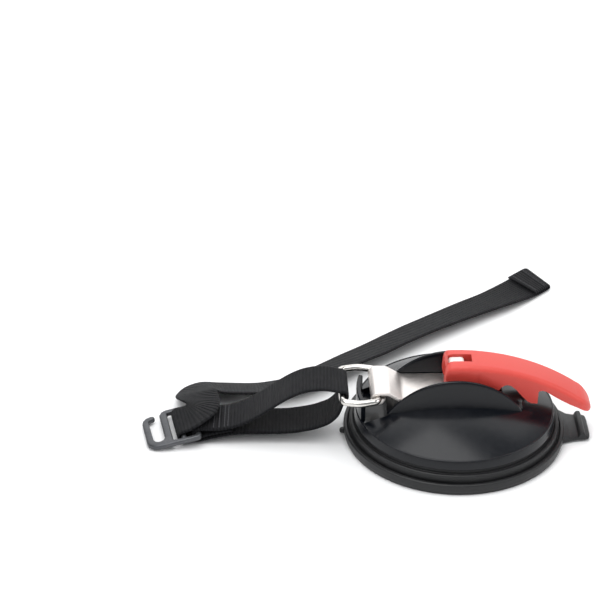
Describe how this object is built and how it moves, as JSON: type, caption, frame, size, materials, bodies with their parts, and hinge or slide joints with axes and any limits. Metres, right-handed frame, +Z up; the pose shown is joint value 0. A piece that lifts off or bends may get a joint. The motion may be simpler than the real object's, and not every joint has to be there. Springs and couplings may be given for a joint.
{
  "type": "vacuum suction cup",
  "caption": "Lever-locked vacuum suction cup with a steel anchor plate, ring and webbing strap with a hook buckle, for tying things down to a smooth surface.",
  "frame": {"origin": "middle of the suction face, on the plane of the pad's lip", "axes": "+Z up, away from the surface the cup is stuck to; +X towards the pad's pull tab and the lever's tip; -X towards the ring and the strap"},
  "size_m": [0.2448, 0.2325, 0.0483],
  "materials": {
    "rubber": "satin moulded black rubber",
    "housing_plastic": "glossy moulded black plastic",
    "steel_plate": "satin stainless strip",
    "stem_plastic": "natural white moulded nylon",
    "pin_steel": "plain steel",
    "lever_plastic": "semi-gloss moulded red plastic",
    "ring_steel": "bright nickel-plated wire",
    "webbing": "ribbed woven black nylon",
    "thread": "black bonded thread",
    "buckle_metal": "grey cast metal, lightly tumbled"
  },
  "bodies": {
    "cup": {"housing": "housing_plastic", "anchor_plate": "steel_plate", "suction_pad": "rubber"},
    "stem": {"pad_stem": "stem_plastic", "pivot_pin": "pin_steel"},
    "lever": {"lever": "lever_plastic"},
    "ring": {"d_ring": "ring_steel"},
    "strap": {"strap_webbing": "webbing", "loop_stitching": "thread", "hem_stitching": "thread"},
    "buckle": {"hook_buckle": "buckle_metal"}
  },
  "joints": [
    {"name": "stem_slide", "type": "slide", "parent": "cup", "child": "stem", "axis": [0, 0, -1], "range_m": [0, 0.00381], "deforming": ["suction_pad"]},
    {"name": "lever_hinge", "type": "hinge", "parent": "stem", "child": "lever", "pos_m": [0, 0, 0.0405], "axis": [0, -1, 0], "range_deg": [0, 95]},
    {"name": "ring_hinge", "type": "hinge", "parent": "cup", "child": "ring", "pos_m": [-0.0429, 0, 0.0312], "axis": [0, 1, 0], "range_deg": [0, 90]},
    {"name": "strap_hinge", "type": "hinge", "parent": "ring", "child": "strap", "pos_m": [-0.0621, 0, 0.0312], "axis": [0, 1, 0], "range_deg": [-91, 0]},
    {"name": "buckle_hinge", "type": "hinge", "parent": "strap", "child": "buckle", "pos_m": [-0.14163, 0.0038, 0.00637], "axis": [-0.1564, 0.9877, 0], "range_deg": [0, 6]}
  ],
  "couplings": [
    {"joint": "stem_slide", "follows": "lever_hinge", "m_per_rad": 0.0022918},
    {"joint": "strap_hinge", "follows": "ring_hinge", "ratio": -1}
  ]
}
